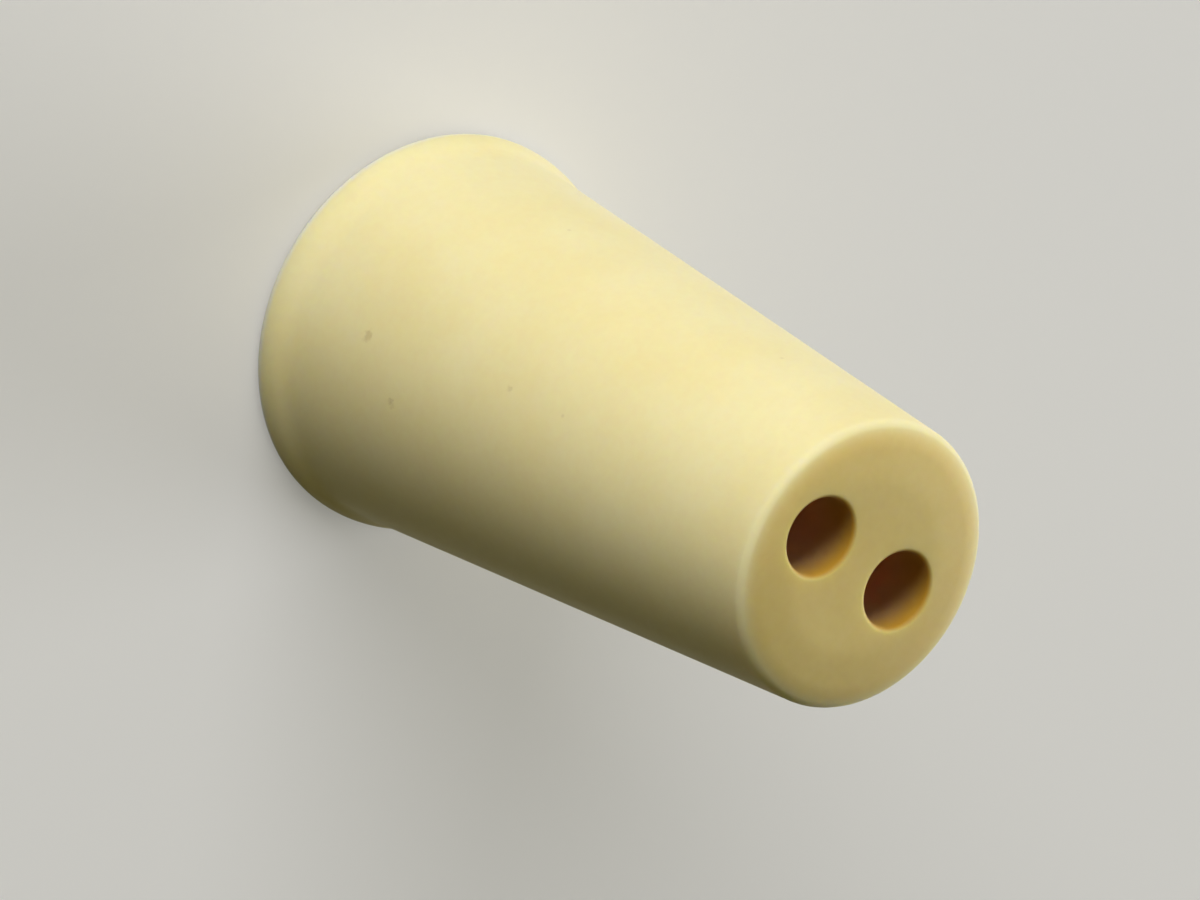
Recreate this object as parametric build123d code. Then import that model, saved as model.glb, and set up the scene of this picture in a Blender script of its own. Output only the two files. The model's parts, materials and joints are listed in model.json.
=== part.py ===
from build123d import *
import os

# Overall sizes in millimetres: the large end is the collar's outside, the small end enters the neck
length = 26.0
large_diameter = 15.0
small_diameter = 10.0

# Low collar at the large end, and the sloping shoulder that joins it to the tapered side
collar_height = 0.9
collar_proud = 0.3
shoulder_length = 0.8

# Roundings of the outline, from the large end to the small end
large_end_round = 0.4
collar_round = 1.8
shoulder_blend = 2.0
small_end_round = 0.35

# Straight holes for glass tubes, in a row through the whole length; the row came out a little off the axis
hole_count = 2
hole_diameter = 2.7
hole_mouth_round = 0.15
holes_off_axis = 0.3


def side_radius(height):
    """Radius of the tapered side at a height above the large end, without the collar."""
    radius_at_collar = large_diameter / 2 - collar_proud
    taper = (radius_at_collar - small_diameter / 2) / (length - collar_height)
    return small_diameter / 2 + taper * (length - height)


def half_section():
    """Half of the section through the axis: base, collar, shoulder, tapered side and small end."""
    shoulder_end = collar_height + shoulder_length
    outline = FilletPolyline(
        (0, 0),
        (large_diameter / 2, 0),
        (large_diameter / 2, collar_height),
        (side_radius(shoulder_end), shoulder_end),
        (small_diameter / 2, length),
        (0, length),
        radius=[large_end_round, collar_round, shoulder_blend, small_end_round],
    )
    return make_face(outline + Line(outline @ 1, outline @ 0))


def moulded_body():
    """The solid of revolution that comes out of the mould, standing on its large end."""
    return revolve(Plane.XZ * half_section(), axis=Axis.Z)


def tube_holes():
    """The holes along X, spread so that the rubber between them is as thick as outside the row."""
    rubber_between = (small_diameter - hole_count * hole_diameter) / (hole_count + 1)
    pitch = hole_diameter + rubber_between
    hole = Cylinder(hole_diameter / 2, length, align=(Align.CENTER, Align.CENTER, Align.MIN))
    row = GridLocations(pitch, 0, hole_count, 1)
    return [Pos(X=holes_off_axis) * place * hole for place in row]


def hole_mouths(stopper):
    """The edges where the holes open in the two flat ends."""
    flat_ends = stopper.faces().filter_by(Axis.Z)
    return [edge for end in flat_ends for wire in end.inner_wires() for edge in wire.edges()]


def make_stopper():
    """One piece of rubber: the moulded body with its holes, each hole softened at both mouths."""
    bored = moulded_body() - tube_holes()
    return fillet(hole_mouths(bored), hole_mouth_round)


os.makedirs("parts", exist_ok=True)
export_step(make_stopper(), "parts/stopper.step")
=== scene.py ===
# %% [markdown]
# # A rubber stopper on its CAD frame
#
# The object is one piece of moulded natural rubber: a tapered plug with a low collar at its large end and
# two straight holes for glass tubes. A imported CAD model already holds its real size and place, with the
# large end on the floor at the origin and the small end up. This lesson turns a fine skin that keeps to
# that model, gives it the look of cream rubber, and sets it in soft light on a pale floor.
#
# The model is loaded first, because everything else takes its place from it. Its solid is kept, to measure
# the finished skin against.

import json
import math

import bmesh
import bpy
from mathutils import Matrix, Vector
from mathutils.bvhtree import BVHTree


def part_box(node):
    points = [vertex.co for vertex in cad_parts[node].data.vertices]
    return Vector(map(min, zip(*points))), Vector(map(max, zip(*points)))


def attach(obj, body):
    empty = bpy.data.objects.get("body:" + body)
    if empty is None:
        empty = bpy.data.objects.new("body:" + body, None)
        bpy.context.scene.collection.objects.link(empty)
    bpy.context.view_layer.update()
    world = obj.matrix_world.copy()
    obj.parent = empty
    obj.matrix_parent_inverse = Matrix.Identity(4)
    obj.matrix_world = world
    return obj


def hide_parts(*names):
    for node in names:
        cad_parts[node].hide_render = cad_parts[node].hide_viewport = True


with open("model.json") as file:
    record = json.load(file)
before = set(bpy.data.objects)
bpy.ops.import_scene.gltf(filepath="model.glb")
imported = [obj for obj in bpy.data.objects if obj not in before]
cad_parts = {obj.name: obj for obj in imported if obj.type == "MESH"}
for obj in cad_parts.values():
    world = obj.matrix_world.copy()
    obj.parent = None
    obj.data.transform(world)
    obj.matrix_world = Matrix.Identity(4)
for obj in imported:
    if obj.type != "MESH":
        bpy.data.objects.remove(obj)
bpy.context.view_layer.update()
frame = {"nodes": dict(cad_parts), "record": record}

# %% [markdown]
# The overall length, the large end and the two holes are read from the frame: from the node's box, and from
# the mounts in its record. The rest of the outline is what a mould maker would write on the drawing, in
# millimetres. Mesh operators have tolerances of their own that suit numbers of this size better than
# metres, so the skin is made in millimetres and is scaled to metres once, when it is finished.

# %% Sizes in millimetres
MM = 0.001
node_low, node_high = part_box("stopper")
length = (node_high.z - node_low.z) / MM
large_radius = (node_high.x - node_low.x) / 2 / MM
small_radius = 5.0
collar_height = 0.9
collar_proud = 0.3
shoulder_length = 0.8
large_end_round = 0.4
collar_round = 1.8
shoulder_blend = 2.0
small_end_round = 0.35
end_fall_width = 0.6
end_fall_angle = 14
end_fall_blend = 2.0
hole_mouth_round = 0.15

bores = [mount for mount in frame["record"]["mounts"] if mount["kind"] == "bore"]
hole_radius = bores[0]["dims"]["r_mm"]
hole_places = [mount["pos_m"][0] / MM for mount in bores]
print(f"length {length:.2f}, large radius {large_radius:.2f}")
print(f"holes of radius {hole_radius} at x", hole_places)

# %% [markdown]
# The mould that makes a stopper is turned on a lathe, and the skin is made in the same way: half of the
# section is drawn once and spun round an axis. The section could be a list of many points, but then every
# rounding would have to be worked out. Here it is a flat face with only its true corners. A vertex bevel
# rounds each corner to an arc, the face and its closing edge are taken away, and what is left is the line
# that is spun.
#
# A bevel asks how far back from the corner the arc starts, which follows from the radius and the corner's
# angle.

# %% Turn a section
arc_segments = 8
wall_rows = 60


def round_corner(skin, place, radius):
    """The corner of a flat face at a place becomes an arc of this radius."""
    corner = min(skin.verts, key=lambda vert: (vert.co - place).length)
    arms = [edge.other_vert(corner).co - corner.co for edge in corner.link_edges]
    start = radius / math.tan(arms[0].angle(arms[1]) / 2)
    bmesh.ops.bevel(
        skin, geom=[corner], offset=start, offset_type="OFFSET", segments=arc_segments,
        profile=0.5, affect="VERTICES", material=-1,
    )


def turn_section(skin, corners, radii, axis_x, steps):
    """Adds to the skin a half section spun round the vertical line at axis_x.

    The first and last corners stay sharp and are the skin's open ends. The longest run between two roundings
    is cut into rows, so that its faces aren't long thin strips.
    """
    older = set(skin.edges)
    places = [Vector((x, 0, z)) for x, z in corners]
    points = [skin.verts.new(place) for place in places]
    skin.faces.new(points)
    for place, radius in zip(places[1:-1], radii):
        round_corner(skin, place, radius)
    closing = [edge for edge in points[0].link_edges if edge.other_vert(points[0]) is points[-1]]
    bmesh.ops.delete(skin, geom=[points[0].link_faces[0]], context="FACES_ONLY")
    bmesh.ops.delete(skin, geom=closing, context="EDGES")
    outline = [edge for edge in skin.edges if edge not in older]
    wall = max(outline, key=lambda edge: edge.calc_length())
    bmesh.ops.subdivide_edges(skin, edges=[wall], cuts=wall_rows - 1)
    outline = [edge for edge in skin.edges if edge not in older]
    line = outline + list({vert for edge in outline for vert in edge.verts})
    bmesh.ops.spin(
        skin, geom=line, cent=(axis_x, 0, 0), axis=(0, 0, 1),
        angle=math.tau, steps=steps, use_merge=True,
    )
    print(f"turned {len(outline)} edges round x = {axis_x:.3f} in {steps} steps")


# %% [markdown]
# The outside has seven corners, five of them rounded. Its tapered side runs up to the small end, and the
# collar stands a little proud of it at the large end, joined by a short slope. The small end isn't quite
# flat: the rubber shrinks as it sets, and a strip along the rim falls away by a tenth of a millimetre or
# so. That is what makes one side of the rim glow under a low lamp, so the strip is turned with the rest,
# and the corner where it starts has a wide blend.
#
# A narrow strip of flat is kept at the inner edge of each end. It gives the smooth shading a flat face to
# level out on, so that the big flats stay flat to the eye.

# %% The outside
flat_strip = 0.1
side_taper = (large_radius - collar_proud - small_radius) / (length - collar_height)
shoulder_end = collar_height + shoulder_length
shoulder_radius = small_radius + side_taper * (length - shoulder_end)
fall_start = small_radius - end_fall_width
end_fall = end_fall_width * math.tan(math.radians(end_fall_angle))

skin = bmesh.new()
turn_section(
    skin,
    corners=[
        (large_radius - large_end_round - flat_strip, 0),
        (large_radius, 0),
        (large_radius, collar_height),
        (shoulder_radius, shoulder_end),
        (small_radius + side_taper * end_fall, length - end_fall),
        (fall_start, length),
        (fall_start - end_fall_width / 2, length),
    ],
    radii=[large_end_round, collar_round, shoulder_blend, small_end_round, end_fall_blend],
    axis_x=0,
    steps=288,
)

# %% [markdown]
# Each hole is made by a smooth steel pin in the mould, and its mouths are worn soft. It is a wall of its
# own, spun round the hole's own axis, with a strip of flat at both mouths. A boolean cut would also make
# the holes, but it leaves broken quads at the rim just where the light catches it.

# %% The walls of the holes
for hole_x in hole_places:
    mouth_edge = hole_x + hole_radius + hole_mouth_round + flat_strip
    turn_section(
        skin,
        corners=[
            (mouth_edge, 0),
            (hole_x + hole_radius, 0),
            (hole_x + hole_radius, length),
            (mouth_edge, length),
        ],
        radii=[hole_mouth_round, hole_mouth_round],
        axis_x=hole_x,
        steps=112,
    )

# %% [markdown]
# The two flat ends are what is left open: a disc with two round windows each. One fill between the open
# edges at an end closes it. Then the doubles are merged, and the normals are recalculated, because a spun
# surface can come out with its faces pointing inwards.

# %% Close the two ends
touching = 0.001


def close_end(height):
    """Fills the flat between the open edges at one height."""
    rims = [
        edge for edge in skin.edges
        if edge.is_boundary and abs(edge.verts[0].co.z - height) < touching
    ]
    filled = bmesh.ops.triangle_fill(skin, use_beauty=True, edges=rims)
    print(f"closed the end at {height:.1f} mm with", len(filled["geom"]), "new parts")


close_end(0)
close_end(length)
bmesh.ops.remove_doubles(skin, verts=skin.verts, dist=touching)
bmesh.ops.recalc_face_normals(skin, faces=skin.faces)
bmesh.ops.scale(skin, vec=(MM, MM, MM), verts=skin.verts)
open_edges = [edge for edge in skin.edges if not edge.is_manifold]
volume = skin.calc_volume() / MM**3
print(f"{len(skin.faces)} faces, {len(open_edges)} open edges, {volume:.1f} mm3")

# %% [markdown]
# The skin has to keep to the CAD solid, so each of its vertices is measured against that solid's surface.
# It leaves it only at the rim of the small end, by the strip that falls away. Elsewhere the difference
# stays under two hundredths of a millimetre, which is how deep the facets of the imported model cut.
#
# The finished skin then becomes one object at the origin. It rides on the only body and stands for the CAD
# node.

# %% The piece
solid = frame["nodes"]["stopper"]
solid_surface = BVHTree.FromPolygons(
    [vert.co for vert in solid.data.vertices],
    [face.vertices[:] for face in solid.data.polygons],
)
furthest = max(solid_surface.find_nearest(vert.co)[3] for vert in skin.verts)
print(f"furthest from the CAD solid: {furthest / MM:.3f} mm")

for face in skin.faces:
    face.smooth = True
mesh = bpy.data.meshes.new("rubber_stopper")
skin.to_mesh(mesh)
skin.free()
stopper = bpy.data.objects.new("rubber_stopper", mesh)
bpy.context.scene.collection.objects.link(stopper)
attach(stopper, "root")
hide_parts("stopper")
print("triangles:", sum(len(face.vertices) - 2 for face in mesh.polygons))

# %% [markdown]
# A finish is a network of shader nodes. Written out link by link it hides what it works out, so one small
# class wraps a node's output and lets Python's own signs add the Math nodes: `1 - mask` is a Math node that
# subtracts. Every other kind of node comes from its method `add`, which takes the node's settings first and
# then what goes into its sockets. Two more methods are used often: a soft step between two values, and a
# blend of two colours.

# %% A small language for shaders
class Signal:
    """One output of a shader node. Arithmetic on it adds a Math node and gives that node's output."""

    def __init__(self, tree, socket=None):
        self.tree = tree
        self.socket = socket

    def add(self, kind, settings=None, inputs=None, output=0):
        """One output of a new node, with its settings made first and its sockets filled or linked next."""
        node = self.tree.nodes.new(kind)
        for name, value in (settings or {}).items():
            setattr(node, name, value)
        for name, value in (inputs or {}).items():
            if isinstance(value, Signal):
                self.tree.links.new(value.socket, node.inputs[name])
            else:
                node.inputs[name].default_value = value
        return Signal(self.tree, node.outputs[output] if node.outputs else None)

    def math(self, operation, *values):
        """The output of a new Math node that works on these values in their order."""
        return self.add("ShaderNodeMath", {"operation": operation}, dict(enumerate(values)))

    def __add__(self, other):
        return self.math("ADD", self, other)

    def __radd__(self, other):
        return self.math("ADD", other, self)

    def __sub__(self, other):
        return self.math("SUBTRACT", self, other)

    def __rsub__(self, other):
        return self.math("SUBTRACT", other, self)

    def __mul__(self, other):
        return self.math("MULTIPLY", self, other)

    def __rmul__(self, other):
        return self.math("MULTIPLY", other, self)

    def step(self, start, end):
        """A soft step: 0 where this signal is at start, 1 where it is at end."""
        limits = {"Value": self, "From Min": start, "From Max": end}
        return self.add("ShaderNodeMapRange", {"interpolation_type": "SMOOTHSTEP"}, limits)

    def blend(self, low, high):
        """The colour low where this signal is 0, and high where it is 1."""
        return self.add("ShaderNodeMix", {"data_type": "RGBA"}, {0: self, 6: low, 7: high}, output=2)


def colour(red, green, blue):
    """A colour given in 0 to 255, as a screen shows it, in the linear form that sockets hold."""
    linear = []
    for value in (red, green, blue):
        level = value / 255
        linear.append(level / 12.92 if level <= 0.04045 else ((level + 0.055) / 1.055) ** 2.4)
    return linear + [1]


def new_tree(owner):
    """The emptied node tree of a material or a world, as the start of its signals."""
    owner.use_nodes = True
    owner.node_tree.nodes.clear()
    return Signal(owner.node_tree)


# %% [markdown]
# The rubber first needs to know where it is. Object coordinates stay with the piece, and a Mapping node
# turns them into millimetres, so that every pattern below can be written at its real scale. The distance
# from each hole's axis comes from a Mapping node that moves the axis to the middle and flattens the height
# away.

# %% Where a point of the rubber is
rubber_material = bpy.data.materials.new("rubber")
rubber = new_tree(rubber_material)
object_place = rubber.add("ShaderNodeTexCoord", output="Object")
per_mm = 1 / MM
place = rubber.add("ShaderNodeMapping", None, {"Vector": object_place, "Scale": (per_mm, per_mm, per_mm)})


def distance_from_axis(axis_x):
    """Distance in millimetres from the vertical line through axis_x."""
    moved = {"Vector": place, "Location": (-axis_x, 0, 0), "Scale": (1, 1, 0)}
    flat = rubber.add("ShaderNodeMapping", None, moved)
    return rubber.add("ShaderNodeVectorMath", {"operation": "LENGTH"}, {"Vector": flat}, output="Value")


def clouds(size, detail, roughness=0.5):
    """Soft noise between 0 and 1 whose patches are about this many millimetres wide."""
    noise = {"Vector": place, "Scale": 1 / size, "Detail": detail, "Roughness": roughness}
    return rubber.add("ShaderNodeTexNoise", {"noise_dimensions": "3D"}, noise, output="Fac")


# %% [markdown]
# Natural rubber is never one even colour. Its cream has broad clouds from the mixing, a few millimetres
# wide, and a fine mottle from the filler. Noise lies mostly between 0.3 and 0.7, so a step between the two
# spreads it over the whole blend from a deep to a pale cream.

# %% The clouded cream
pale_cream = colour(244, 233, 182)
deep_cream = colour(241, 227, 168)
noise_low, noise_high = 0.3, 0.7
broad_share = 0.7

broad = clouds(size=4.0, detail=2)
fine = clouds(size=0.35, detail=4)
mottle = fine.step(noise_low, noise_high) * (1 - broad_share)
tone = broad.step(noise_low, noise_high) * broad_share + mottle
cream = tone.blend(deep_cream, pale_cream)
print("the clouded cream takes", len(rubber.tree.nodes), "nodes")

# %% [markdown]
# The ends are found by the distance to the nearer one, in millimetres. Their flats are a painted shade, a
# little deeper in tone than the side. The rounded edge between them is painted pale, a painted highlight,
# most of all at the large end.

# %% The ends, their painted shade and the painted highlight on their edges
# painted shade: the flats of the ends get a deeper, warmer cream than the side
shaded_end_pale = colour(242, 221, 148)
shaded_end_deep = colour(237, 214, 137)
# painted highlight: a paler cream laid along the rounded rims of both ends
rim_highlight_cream = colour(246, 240, 214)
flat_reach = 0.15
edge_reach = 0.6
least_rim_highlight = 0.2
height = rubber.add("ShaderNodeSeparateXYZ", None, {"Vector": place}, output="Z")
from_end = rubber.math("MINIMUM", height, length - height)
at_end = from_end.step(flat_reach, 0)
at_edge = from_end.step(edge_reach, edge_reach / 2) - at_end
# the painted highlight is strongest at the large end and weakest at the small end
painted_rim_highlight = at_edge * (least_rim_highlight + (1 - least_rim_highlight) * height.step(length, 0))
cream = at_end.blend(painted_rim_highlight.blend(cream, rim_highlight_cream), tone.blend(shaded_end_deep, shaded_end_pale))
print(f"rubbed pale up to {edge_reach} mm from either end")

# %% [markdown]
# Small specks of dirt come next. Three are placed by angle and height, where the photograph has soft marks,
# and a sprinkle of dust comes from the middles of a cell pattern. Noise is added to a speck's distance, which
# makes its outline ragged.

# %% Specks and dust
speck_brown = colour(158, 122, 50)
ragged = clouds(size=0.2, detail=2)
soft_rim = 0.2
speck_core = 0.2


def speck_at(angle, above_floor, radius):
    """1 in a ragged speck on the side: its angle in degrees from +X, its height and radius in millimetres."""
    reach = small_radius + side_taper * (length - above_floor)
    turned = math.radians(angle)
    centre = (reach * math.cos(turned), reach * math.sin(turned), above_floor)
    ends = {0: place, 1: centre}
    apart = rubber.add("ShaderNodeVectorMath", {"operation": "DISTANCE"}, ends, output="Value")
    return (apart + ragged * soft_rim * 2).step(radius + soft_rim, radius * speck_core + soft_rim)


faint = 0.6
specks = (
    speck_at(angle=15.0, above_floor=5.5, radius=0.28)
    + speck_at(angle=30.4, above_floor=7.5, radius=0.22)
    + speck_at(angle=8.8, above_floor=13.0, radius=0.16) * faint
)
dust_spacing = 2.2
dust_edge, dust_core = 0.05, 0.01
dust_cells = {"Vector": place, "Scale": 1 / dust_spacing}
dust = rubber.add("ShaderNodeTexVoronoi", None, dust_cells, output="Distance").step(dust_edge, dust_core)
speck_strength = 0.25
dust_strength = 0.15
cream = (specks * speck_strength + dust * dust_strength).blend(cream, speck_brown)
print(f"three specks, and cells of dust {dust_spacing} mm wide")

# %% [markdown]
# A hole is found by the distance from its axis. Its wall is painted shade, a brown that is darkest at the
# mouth, and paler and warmer further in, which is a painted glow of light coming through the rubber.

# %% The painted shade and glow in the holes
# painted shade at the mouths of the holes, and a painted warm glow deeper in
mouth_shade_brown = colour(174, 132, 40)
inner_painted_glow = colour(246, 198, 165)
mouth_reach = hole_radius * 2
in_hole = sum(distance_from_axis(x).step(hole_radius + hole_mouth_round, hole_radius) for x in hole_places)
# the painted shade fades from the mouth into the painted glow inside the hole
painted_hole_shade = from_end.step(hole_mouth_round, mouth_reach).blend(mouth_shade_brown, inner_painted_glow)
rubber_colour = in_hole.blend(cream, painted_hole_shade)
print(f"the mouths' brown fades out {mouth_reach:.1f} mm in")

# %% [markdown]
# The mould leaves a fine grain, the rubber is a little uneven under it, and each placed speck sits in a
# shallow pit. The flats inside the rim are crowned, too slightly to be worth more faces. All four are
# heights in millimetres, and one Bump node whose distance is a millimetre turns them into a normal.

# %% The grain
grain = clouds(size=0.09, detail=3, roughness=0.6)
unevenness = clouds(size=2.5, detail=1)
crown_width = 2.2
from_rim = small_radius + side_taper * (length - height) - distance_from_axis(0)
crown = 1 - from_rim.step(crown_width, 0)

grain_height = 0.0025
uneven_height = 0.008
crown_height = 0.167
pit_depth = 0.012
relief = grain * grain_height + unevenness * uneven_height + crown * crown_height - specks * pit_depth
normal = rubber.add("ShaderNodeBump", None, {"Distance": MM, "Height": relief}, output="Normal")
print(f"grain {grain_height} mm high, crown {crown_height} mm over {crown_width} mm")

# %% [markdown]
# The surface is matt. Its mirror-like part is kept weak, a faint sheen stands for the dusty bloom on it,
# and the fine mottle makes some spots more matt than others. A little light also goes in and comes out
# close by, red furthest, which is what softens the edge of the shade on rubber.

# %% The matt surface
least_matt = 0.46
matt_spread = 0.1
matt = least_matt + fine * matt_spread

rubber_surface = rubber.add(
    "ShaderNodeBsdfPrincipled",
    {"subsurface_method": "RANDOM_WALK"},
    {
        "Base Color": rubber_colour,
        "Roughness": matt,
        "Normal": normal,
        "IOR": 1.5,
        "Specular IOR Level": 0.08,
        "Sheen Weight": 0.1,
        "Sheen Roughness": 0.5,
        "Subsurface Weight": 0.6,
        "Subsurface Radius": (1.0, 0.85, 0.2),
        "Subsurface Scale": MM,
    },
)
rubber.add("ShaderNodeOutputMaterial", None, {"Surface": rubber_surface})
stopper.data.materials.append(rubber_material)
print("the rubber has", len(rubber_material.node_tree.nodes), "nodes")

# %% [markdown]
# The floor is a wide disc under the large end. To the camera and in reflections it is a pale grey with a
# small lift, so that it looks pale and still keeps the stopper's shadow. To light that bounces about it is
# darker and warmer, so that it brightens the shaded side only a little. From below it is see-through, to
# let the large end be looked at.

# %% The floor
floor_radius = 3.0
floor_tone = colour(216, 215, 215)
floor_bounce = colour(104, 98, 42)
floor_lift = colour(130, 130, 128)
no_lift = colour(0, 0, 0)

floor_disc = bmesh.new()
bmesh.ops.create_circle(floor_disc, cap_ends=True, radius=floor_radius, segments=96)
floor_mesh = bpy.data.meshes.new("floor")
floor_disc.to_mesh(floor_mesh)
floor_disc.free()
floor = bpy.data.objects.new("floor", floor_mesh)
bpy.context.scene.collection.objects.link(floor)

floor_material = bpy.data.materials.new("floor")
paper = new_tree(floor_material)


def seen_rays(signals):
    """1 for a ray that shows the background: from the camera, in a reflection or through glass."""
    kinds = ("Is Camera Ray", "Is Glossy Ray", "Is Transmission Ray")
    return sum(signals.add("ShaderNodeLightPath", output=kind) for kind in kinds).step(0, 1)


seen = seen_rays(paper)
under_side = paper.add("ShaderNodeNewGeometry", output="Backfacing")
paper_surface = paper.add(
    "ShaderNodeBsdfPrincipled",
    None,
    {
        "Base Color": seen.blend(floor_bounce, floor_tone),
        "Roughness": 0.9,
        "Specular IOR Level": 0.0,
        "Alpha": 1 - under_side,
        "Emission Color": seen.blend(no_lift, floor_lift),
        "Emission Strength": 1.0,
    },
)
paper.add("ShaderNodeOutputMaterial", None, {"Surface": paper_surface})
floor.data.materials.append(floor_material)
print("floor disc of radius", floor_radius, "m")

# %% [markdown]
# Lamps and camera all look at the middle of the stopper, so one function places them: it turns an azimuth
# and an elevation into a place at a distance, looking in. Azimuth 0 looks along +Y, and it grows
# anticlockwise from above.

# %% Look in from around
aim = Vector((0.644, 0.887, 12.385)) * MM


def looking_in(azimuth, elevation, distance, roll=0):
    """The matrix of a lamp or camera at this distance from the aim, looking at it. Angles are in degrees."""
    around = Matrix.Rotation(math.radians(azimuth), 4, "Z")
    turned = around @ Matrix.Rotation(math.radians(90 - elevation), 4, "X")
    rolled = turned @ Matrix.Rotation(math.radians(roll), 4, "Z")
    return Matrix.Translation(aim) @ rolled @ Matrix.Translation((0, 0, distance))


# %% [markdown]
# The light is plain and soft. A large key lamp comes low from the side that is the top of the picture. A
# rim lamp behind the stopper draws its far outline and lights its back. A weak, very wide fill comes from
# high up on the key's side and reaches down into the holes.
#
# A lamp's level is how bright a white card facing it would be, which gives its power. The low lamps are
# ovals, wider than they are high, because a round lamp of that width would reach down through the floor.

# %% The lamps
def soft_lamp(name, azimuth, elevation, level, width, height, distance=0.5):
    """An oval area lamp that lights a white card at the stopper to this level."""
    light = bpy.data.lights.new(name, "AREA")
    light.shape = "ELLIPSE"
    light.size = width
    light.size_y = height
    light.energy = level * (math.pi * distance) ** 2
    lamp = bpy.data.objects.new(name, light)
    lamp.matrix_world = looking_in(azimuth, elevation, distance)
    lamp.visible_camera = False
    bpy.context.scene.collection.objects.link(lamp)
    print(f"{name}: {light.energy:.2f} W")


soft_lamp("key", azimuth=54, elevation=16, level=1.07, width=0.5, height=0.26)
soft_lamp("rim", azimuth=295, elevation=12, level=0.75, width=0.4, height=0.2)
soft_lamp("fill", azimuth=30, elevation=60, level=0.08, width=0.7, height=0.7)

# %% [markdown]
# The world adds a little warm light from everywhere. To the camera and in reflections it is a pale
# background instead, told apart by the same rays as the floor.

# %% The world
world_light = colour(74, 70, 34)
world_seen = colour(236, 235, 232)
world = bpy.data.worlds.new("studio")
bpy.context.scene.world = world
studio = new_tree(world)
studio_colour = seen_rays(studio).blend(world_light, world_seen)
studio_light = studio.add("ShaderNodeBackground", None, {"Color": studio_colour})
studio.add("ShaderNodeOutputWorld", None, {"Surface": studio_light})
print("the world has", len(studio.tree.nodes), "nodes")

# %% [markdown]
# The photograph looks at the small end from close by, with the stopper lying across the picture. Here it
# stands, so the camera looks down on it and is rolled until the stopper lies across the picture in the same
# way. The lens is long and there is no shift, framed for a picture of 1200 by 900.

# %% The camera
camera_data = bpy.data.cameras.new("camera")
camera_data.lens = 156
camera_data.sensor_width = 36
camera_data.clip_start = 0.01
camera_data.clip_end = 20
camera = bpy.data.objects.new("camera", camera_data)
camera.matrix_world = looking_in(azimuth=94.02, elevation=48.889, distance=180.292 * MM, roll=119.05)
bpy.context.scene.collection.objects.link(camera)
bpy.context.scene.camera = camera
bpy.context.scene.view_settings.view_transform = "Standard"
print("camera at", [round(value / MM, 2) for value in camera.matrix_world.translation], "mm")
